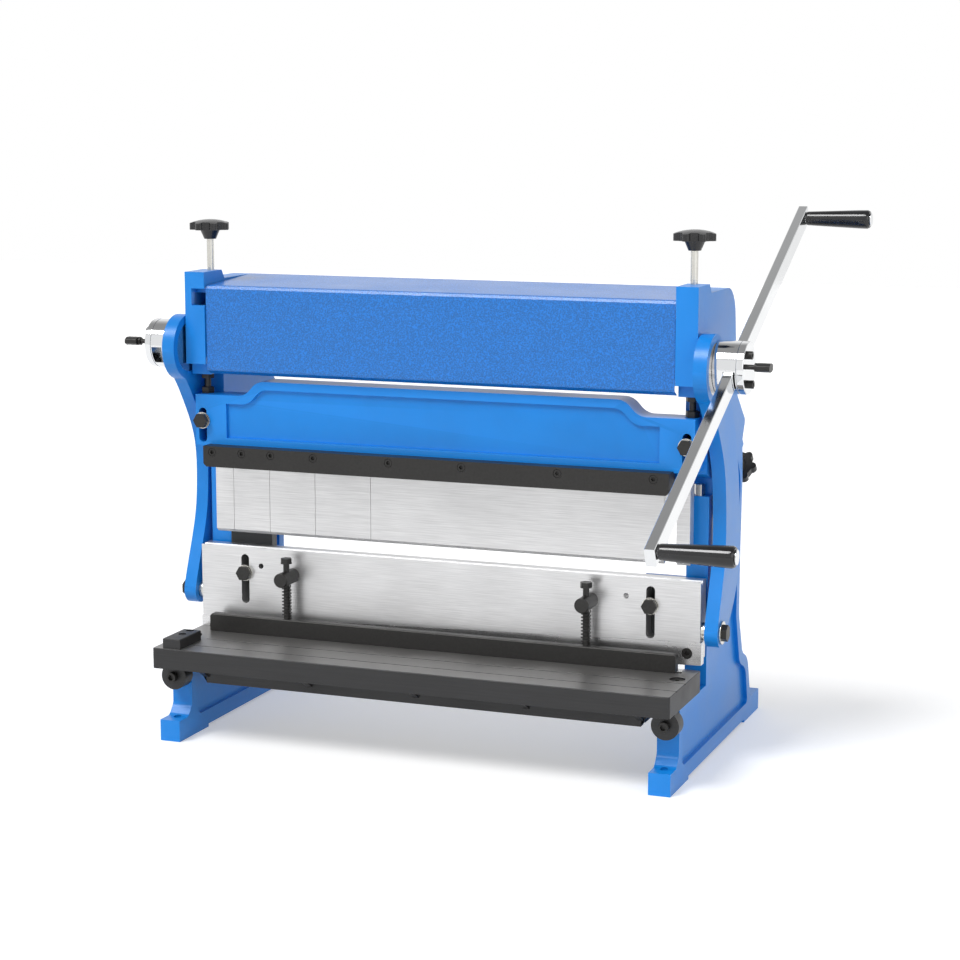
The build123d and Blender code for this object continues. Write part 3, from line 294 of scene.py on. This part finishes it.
def shades(colour, darker=0.85, lighter=1.12):
    """A darker and a lighter shade of a colour."""
    return [tuple(min(c * factor, 1.0) for c in colour) for factor in (darker, lighter)]


def start_material(name, metallic=0.0, **constants):
    """A material with a Principled BSDF whose plain values are set on its own sockets."""
    material = bpy.data.materials.new(name)
    material.use_nodes = True
    tree = material.node_tree
    shader = tree.nodes["Principled BSDF"]
    shader.inputs["Metallic"].default_value = metallic
    for socket_name, value in constants.items():
        shader.inputs[socket_name.replace("_", " ")].default_value = value
    return material, tree, shader


# ---- materials ----------------------------------------------------------------------------------------
def enamel_material(name, colour, groups, peel=120.0, peel_strength=0.10, rough=(0.28, 0.36)):
    """Gloss enamel on a casting: cloudy colour, a slight orange peel and a painted highlight, a paler blue,
    along convex edges.
    """
    material, tree, shader = start_material(name, Specular_IOR_Level=0.38)
    place = object_place(tree)
    cloud = place_group(tree, groups["mottle"], place, Scale=7.0)
    dark, light = shades(colour, 0.93, 1.06)
    base = mix_colours(tree, cloud.outputs["Mask"], dark, light)
    # Painted highlight: a paler blue along convex edges stands in for the light that rounded edges catch.
    edges = place_group(tree, groups["edges"], Low=0.53)
    edge_highlight = tree.nodes.new("ShaderNodeMix")
    edge_highlight.data_type = "RGBA"
    edge_highlight.inputs["B"].default_value = (*[min(1.0, c * 1.25 + 0.012) for c in colour], 1)
    tree.links.new(remap(tree, edges.outputs["Mask"], 0, 1, 0, 0.35), edge_highlight.inputs["Factor"])
    tree.links.new(base, edge_highlight.inputs["A"])
    tree.links.new(edge_highlight.outputs["Result"], shader.inputs["Base Color"])
    tree.links.new(remap(tree, cloud.outputs["Mask"], 0, 1, *rough), shader.inputs["Roughness"])
    skin = noise(tree, peel, 2.0)
    tree.links.new(place, skin.inputs["Vector"])
    tree.links.new(bump(tree, skin.outputs["Fac"], peel_strength, 1.0 * MM), shader.inputs["Normal"])
    return material


def hammered_material(name, colour, groups):
    """Hammered enamel on sheet: small dimples that catch the light."""
    material, tree, shader = start_material(name, Coat_Weight=0.25, Coat_Roughness=0.2)
    place = object_place(tree)
    dimples = tree.nodes.new("ShaderNodeTexVoronoi")
    dimples.feature = "SMOOTH_F1"
    dimples.inputs["Scale"].default_value = 620.0
    dimples.inputs["Smoothness"].default_value = 0.7
    tree.links.new(place, dimples.inputs["Vector"])
    cloud = place_group(tree, groups["mottle"], place, Scale=9.0)
    dark, light = shades(colour, 0.72, 1.35)
    spots = remap(tree, dimples.outputs["Distance"], 0.15, 0.75)
    tree.links.new(mix_colours(tree, spots, dark, light), shader.inputs["Base Color"])
    tree.links.new(remap(tree, cloud.outputs["Mask"], 0, 1, 0.30, 0.38), shader.inputs["Roughness"])
    tree.links.new(bump(tree, dimples.outputs["Distance"], 0.35, 0.6 * MM), shader.inputs["Normal"])
    return material


def ground_material(name, colour, groups, stretch, rough=(0.30, 0.42), metallic=0.85,
                    lines=500.0, depth=0.12):
    """Ground metal: grinding lines along the length, cloudy sheen."""
    material, tree, shader = start_material(name, metallic)
    grain = place_group(tree, groups["grinding"], object_place(tree, stretch), Scale=lines)
    cloud = place_group(tree, groups["mottle"], object_place(tree), Scale=11.0)
    dark, light = shades(colour, 0.86, 1.10)
    base = mix_colours(tree, grain.outputs["Mask"], dark, light)
    veil = tree.nodes.new("ShaderNodeMix")
    veil.data_type = "RGBA"
    veil.inputs["B"].default_value = (*shades(colour, 0.8)[0], 1)
    tree.links.new(remap(tree, cloud.outputs["Mask"], 0, 1, 0, 0.25), veil.inputs["Factor"])
    tree.links.new(base, veil.inputs["A"])
    tree.links.new(veil.outputs["Result"], shader.inputs["Base Color"])
    tree.links.new(remap(tree, cloud.outputs["Mask"], 0, 1, *rough), shader.inputs["Roughness"])
    tree.links.new(bump(tree, grain.outputs["Height"], depth, 0.3 * MM), shader.inputs["Normal"])
    return material


def plated_material(name, colour, groups, rough=(0.06, 0.09)):
    """Polished plating: nearly even, with a faint slow haze."""
    material, tree, shader = start_material(name, 1.0)
    cloud = place_group(tree, groups["mottle"], object_place(tree), Scale=9.0)
    dark, light = shades(colour, 0.97, 1.02)
    tree.links.new(mix_colours(tree, cloud.outputs["Mask"], dark, light), shader.inputs["Base Color"])
    tree.links.new(remap(tree, cloud.outputs["Mask"], 0, 1, *rough), shader.inputs["Roughness"])
    return material


def plastic_material(name, colour, groups, rough=(0.22, 0.30), depth=0.05):
    """Moulded plastic with a fine skin."""
    material, tree, shader = start_material(name)
    place = object_place(tree)
    cloud = place_group(tree, groups["mottle"], place, Scale=40.0)
    dark, light = shades(colour, 0.8, 1.3)
    tree.links.new(mix_colours(tree, cloud.outputs["Mask"], dark, light), shader.inputs["Base Color"])
    tree.links.new(remap(tree, cloud.outputs["Mask"], 0, 1, *rough), shader.inputs["Roughness"])
    skin = noise(tree, 900.0, 2.0)
    tree.links.new(place, skin.inputs["Vector"])
    tree.links.new(bump(tree, skin.outputs["Fac"], depth, 0.2 * MM), shader.inputs["Normal"])
    return material


def make_materials():
    """Every finish on the machine, by name."""
    colours = bpy.context.scene.machine_colours
    groups = {"mottle": mottle_group(), "grinding": grinding_group(), "edges": edge_highlight_group()}
    along_x, across = (0.02, 1, 1), (1, 1, 1)
    enamel, steel, black = tuple(colours.enamel), tuple(colours.steel), tuple(colours.blackened)
    return {
        "enamel": enamel_material("blue enamel", enamel, groups),
        "hammered": hammered_material("hammered blue enamel", tuple(colours.hammered), groups),
        "black paint": enamel_material("black paint", (0.018, 0.021, 0.024), groups),
        "ground": ground_material("ground steel", steel, groups, along_x, lines=1100.0, depth=0.06),
        "finger": ground_material("ground finger steel", steel, groups, along_x, (0.34, 0.46),
                                  lines=1100.0, depth=0.06),
        "blade": ground_material("blade steel", steel, groups, along_x, (0.2, 0.3), 0.9, 1100.0, 0.05),
        "iron": ground_material("blackened iron", tuple(colours.black_iron), groups, along_x, (0.36, 0.5),
                                metallic=0.3),
        "table": ground_material("ground table face", (0.26, 0.255, 0.25), groups, along_x,
                                 metallic=0.75, lines=900.0, depth=0.06),
        "blackened": ground_material("blackened steel", black, groups, across, (0.34, 0.46),
                                     metallic=0.5, lines=300.0, depth=0.06),
        "zinc": plated_material("zinc plate", (0.62, 0.61, 0.57), groups, (0.22, 0.30)),
        "turned": ground_material("turned steel", (0.55, 0.55, 0.56), groups, (1, 0.05, 0.05),
                                  (0.16, 0.24), metallic=1.0),
        "chrome": plated_material("chrome plate", (0.74, 0.75, 0.76), groups),
        "bronze": ground_material("bronze", (0.42, 0.25, 0.10), groups, across, (0.25, 0.35), 1.0),
        "knob": plastic_material("knob plastic", tuple(colours.plastic), groups),
        "grip": plastic_material("grip plastic", tuple(colours.plastic), groups, (0.10, 0.16), 0.02),
        "fluted": plastic_material("matte grip plastic", (0.02, 0.02, 0.021), groups, (0.32, 0.42), 0.05),
    }


# ---- operators ------------------------------------------------------------------------------------------
class MakeCastings(bpy.types.Operator):
    """Round and paint the side frames, the brake beam and the two arms"""
    bl_idname = "machine.make_castings"
    bl_label = "Castings"

    def execute(self, context):
        edge = context.scene.machine_sizes.casting_edge
        for node in ("right_frame", "left_frame", "brake_beam", "right_arm", "left_arm"):
            finish_node(node, finishes["enamel"], edge, 3)
        finish_node("ram_guide_blocks", finishes["black paint"], edge / 2)
        return {"FINISHED"}


class MakeTable(bpy.types.Operator):
    """Finish the work table and its side gauge"""
    bl_idname = "machine.make_table"
    bl_label = "Work table"

    def execute(self, context):
        edge = context.scene.machine_sizes.plate_edge
        table = finish_node("work_table", finishes["iron"], edge)
        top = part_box("work_table")[1].z - 0.2 * MM
        second_finish(table, finishes["table"], lambda centre, normal: normal.z > 0.9 and centre.z > top)
        finish_node("side_gauge", finishes["iron"], edge)
        return {"FINISHED"}


class MakePlates(bpy.types.Operator):
    """Finish the ram, the blades, the hold-down, the fingers and the clamp bar"""
    bl_idname = "machine.make_plates"
    bl_label = "Plates and bars"

    def execute(self, context):
        edge = context.scene.machine_sizes.plate_edge
        finish_node("ram_plate", finishes["ground"], edge)
        for node in ("upper_blade", "lower_blade"):
            finish_node(node, finishes["blade"], edge / 2)
        for node in ("hold_down_bar", "finger_clamp_bar", "cross_studs"):
            finish_node(node, finishes["blackened"], edge)
        for number in range(1, 6):
            finish_node(f"brake_finger_{number}", finishes["finger"], edge / 2)
        finish_node("end_finger", finishes["finger"], edge / 2)
        return {"FINISHED"}


class MakeRolls(bpy.types.Operator):
    """Finish the three rolls, their gears, bushes and bearing blocks"""
    bl_idname = "machine.make_rolls"
    bl_label = "Rolls"

    def execute(self, context):
        edge = context.scene.machine_sizes.plate_edge
        for node in ("lower_roll", "upper_roll", "rear_roll"):
            finish_node(node, finishes["turned"], edge)
        for node in ("lower_roll_gear", "upper_roll_gear", "eccentric_sheaves"):
            finish_node(node, finishes["turned"], edge / 2)
        for node in ("upper_bearing_blocks", "rear_bearing_blocks"):
            finish_node(node, finishes["ground"], edge)
        finish_node("lower_roll_bushes", finishes["bronze"], edge / 3)
        return {"FINISHED"}


class MakeCover(bpy.types.Operator):
    """Finish the folded sheet cover"""
    bl_idname = "machine.make_cover"
    bl_label = "Roll cover"

    def execute(self, context):
        finish_node("roll_cover", finishes["hammered"], 0.4 * MM, 2, 20)
        return {"FINISHED"}


class MakeFasteners(bpy.types.Operator):
    """Finish the bolts, screws, nuts, pins and springs"""
    bl_idname = "machine.make_fasteners"
    bl_label = "Fasteners"

    def execute(self, context):
        for node in ("table_screws", "upper_blade_screws", "hold_down_rods", "finger_clamp_screws",
                     "cover_screws", "hub_screws", "jack_lock_nuts", "left_jack_bolt", "right_jack_bolt",
                     "left_thumb_screw", "right_thumb_screw"):
            finish_node(node, finishes["blackened"], 0.4 * MM)
        bolts = finish_node("slot_bolts", finishes["blackened"], 0.4 * MM)
        ram_face, beam_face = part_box("ram_plate")[0].y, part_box("brake_beam")[0].y
        second_finish(bolts, finishes["zinc"], lambda centre, normal: centre.y > (
            beam_face if abs(centre.x) > 300 * MM else ram_face) - 2.3 * MM)
        pins = finish_node("arm_pivot_pins", finishes["blackened"], 0.4 * MM)
        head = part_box("arm_pivot_pins")[1].x - 5.9 * MM
        second_finish(pins, finishes["zinc"], lambda centre, normal: abs(centre.x) < head)
        finish_node("ledge_bolts", finishes["zinc"], 0.4 * MM)
        for node in ("left_hold_down_spring", "right_hold_down_spring"):
            spring = merged_copy(node, f"{node}_finished")
            smooth(spring, 60)
            stand_for(spring, node, finishes["blackened"])
        return {"FINISHED"}


class MakeAdjusters(bpy.types.Operator):
    """Finish the star knobs and their screws"""
    bl_idname = "machine.make_adjusters"
    bl_label = "Knobs and screws"

    def execute(self, context):
        sizes = context.scene.machine_sizes
        for hand in ("left", "right"):
            for place in ("top", "rear"):
                finish_node(f"{hand}_{place}_knob", finishes["knob"], sizes.knob_edge, 3)
                finish_node(f"{hand}_{place}_screw", finishes["zinc"], 0.3 * MM)
        return {"FINISHED"}


class MakeCrank(bpy.types.Operator):
    """Finish the hubs, the discs, the crank bar and its grips"""
    bl_idname = "machine.make_crank"
    bl_label = "Crank and hubs"

    def execute(self, context):
        edge = context.scene.machine_sizes.plate_edge
        for node in ("shaft_hubs", "clutch_discs", "crank_bar", "grip_axles"):
            finish_node(node, finishes["chrome"], edge)
        for node in ("lower_grip", "upper_grip"):
            finish_node(node, finishes["grip"], edge)
        return {"FINISHED"}


FLOOR_SIZE = 14.0
FLOOR_GLOW = 0.34
WORLD_LIGHT = 0.5
SUN_STRENGTH = 2.1
SUN_TURN = (math.radians(38), 0, math.radians(-32))
SUN_SIZE = math.radians(24)
FILL_PLACE = (3.0, -2.2, 1.8)
FILL_SIZE = 3.0
FILL_POWER = 22
CAMERA_PLACE = (1.023, -2.6325, 0.7968)
CAMERA_PITCH = 9.6
CAMERA_YAW = 20.9
CAMERA_LENS = 84.7


class MakeStage(bpy.types.Operator):
    """Set the floor, the lamps, the world and the camera round the machine"""
    bl_idname = "machine.make_stage"
    bl_label = "Studio"

    def execute(self, context):
        scene = context.scene
        scene.view_settings.view_transform = "Standard"
        self.make_floor()
        self.make_world(scene)
        self.add_sun()
        self.add_lamp("fill", FILL_PLACE, FILL_SIZE, FILL_POWER)
        self.make_camera(scene)
        return {"FINISHED"}

    @staticmethod
    def seen_directly(tree):
        """1 for rays from the camera, from glossy surfaces and through clear ones, otherwise 0."""
        path = tree.nodes.new("ShaderNodeLightPath")
        seen = path.outputs["Is Camera Ray"]
        for kind in ("Is Glossy Ray", "Is Transmission Ray"):
            either = tree.nodes.new("ShaderNodeMath")
            either.operation = "MAXIMUM"
            tree.links.new(seen, either.inputs[0])
            tree.links.new(path.outputs[kind], either.inputs[1])
            seen = either.outputs["Value"]
        return seen

    def make_floor(self):
        bpy.ops.object.select_all(action="DESELECT")
        bpy.ops.mesh.primitive_grid_add(x_subdivisions=2, y_subdivisions=2, size=FLOOR_SIZE)
        floor = bpy.context.active_object
        floor.name = "studio_floor"
        material, tree, shader = start_material("studio floor", Roughness=0.9, Specular_IOR_Level=0.1)
        cloud = noise(tree, 3.0)
        tree.links.new(object_place(tree), cloud.inputs["Vector"])
        tree.links.new(mix_colours(tree, cloud.outputs["Fac"], (0.80, 0.80, 0.80), (0.82, 0.82, 0.82)),
                       shader.inputs["Base Color"])
        glow = tree.nodes.new("ShaderNodeEmission")
        tree.links.new(remap(tree, self.seen_directly(tree), 0, 1, 0, FLOOR_GLOW), glow.inputs["Strength"])
        both = tree.nodes.new("ShaderNodeAddShader")
        tree.links.new(shader.outputs["BSDF"], both.inputs[0])
        tree.links.new(glow.outputs["Emission"], both.inputs[1])
        tree.links.new(both.outputs["Shader"], tree.nodes["Material Output"].inputs["Surface"])
        paint(floor, material)

    def make_world(self, scene):
        """White round the horizon, and a darker ceiling for what mirrors it."""
        world = bpy.data.worlds.new("studio")
        scene.world = world
        world.use_nodes = True
        tree = world.node_tree
        background = tree.nodes["Background"]
        background.inputs["Color"].default_value = (1, 1, 1, 1)
        lit = remap(tree, self.seen_directly(tree), 0, 1, WORLD_LIGHT, 1.0)
        heading = tree.nodes.new("ShaderNodeSeparateXYZ")
        tree.links.new(tree.nodes.new("ShaderNodeTexCoord").outputs["Generated"], heading.inputs["Vector"])
        ceiling = remap(tree, heading.outputs["Z"], 0.55, 0.85, 1.0, 0.35)
        mirrored = tree.nodes.new("ShaderNodeMix")
        path = tree.nodes.new("ShaderNodeLightPath")
        tree.links.new(path.outputs["Is Glossy Ray"], mirrored.inputs["Factor"])
        tree.links.new(lit, mirrored.inputs["A"])
        tree.links.new(ceiling, mirrored.inputs["B"])
        tree.links.new(mirrored.outputs["Result"], background.inputs["Strength"])

    @staticmethod
    def add_sun():
        bpy.ops.object.light_add(type="SUN", location=(-2, -3, 4), rotation=SUN_TURN)
        sun = bpy.context.active_object
        sun.name = "studio_key"
        sun.data.energy = SUN_STRENGTH
        sun.data.angle = SUN_SIZE

    @staticmethod
    def add_lamp(name, place, size, power):
        bpy.ops.object.light_add(type="AREA", location=place)
        lamp = bpy.context.active_object
        lamp.name = f"studio_{name}"
        lamp.data.shape = "DISK"
        lamp.data.size = size
        lamp.data.energy = power
        aim = Vector((0, 0, 0.3)) - Vector(place)
        lamp.rotation_euler = aim.to_track_quat("-Z", "Y").to_euler()

    @staticmethod
    def make_camera(scene):
        turn = (math.radians(90 - CAMERA_PITCH), 0, math.radians(CAMERA_YAW))
        bpy.ops.object.camera_add(location=CAMERA_PLACE, rotation=turn)
        camera = bpy.context.active_object
        camera.data.lens = CAMERA_LENS
        camera.data.sensor_width = 36
        camera.data.clip_end = 100
        scene.camera = camera


PIECE_OPERATORS = (MakeCastings, MakeTable, MakePlates, MakeRolls, MakeCover, MakeFasteners, MakeAdjusters,
                   MakeCrank, MakeStage)


class SheetMachinePanel(bpy.types.Panel):
    """Lists the machine's sizes, colours and pieces"""
    bl_idname = "VIEW3D_PT_sheet_machine"
    bl_label = "Sheet Machine"
    bl_space_type = "VIEW_3D"
    bl_region_type = "UI"
    bl_category = "Sheet Machine"

    def draw(self, context):
        for settings in (context.scene.machine_sizes, context.scene.machine_colours):
            box = self.layout.box()
            for name in settings.__annotations__:
                box.prop(settings, name)
        for operator in PIECE_OPERATORS:
            self.layout.operator(operator.bl_idname)


CLASSES = (MachineSizes, MachineColours, *PIECE_OPERATORS, SheetMachinePanel)
finishes = {}


def register():
    for item in CLASSES:
        bpy.utils.register_class(item)
    bpy.types.Scene.machine_sizes = bpy.props.PointerProperty(type=MachineSizes)
    bpy.types.Scene.machine_colours = bpy.props.PointerProperty(type=MachineColours)


def unregister():
    del bpy.types.Scene.machine_colours
    del bpy.types.Scene.machine_sizes
    for item in reversed(CLASSES):
        bpy.utils.unregister_class(item)


def main():
    register()
    finishes.update(make_materials())
    bpy.ops.machine.make_castings()
    bpy.ops.machine.make_table()
    bpy.ops.machine.make_plates()
    bpy.ops.machine.make_rolls()
    bpy.ops.machine.make_cover()
    bpy.ops.machine.make_fasteners()
    bpy.ops.machine.make_adjusters()
    bpy.ops.machine.make_crank()
    bpy.ops.machine.make_stage()


if __name__ == "__main__":
    main()
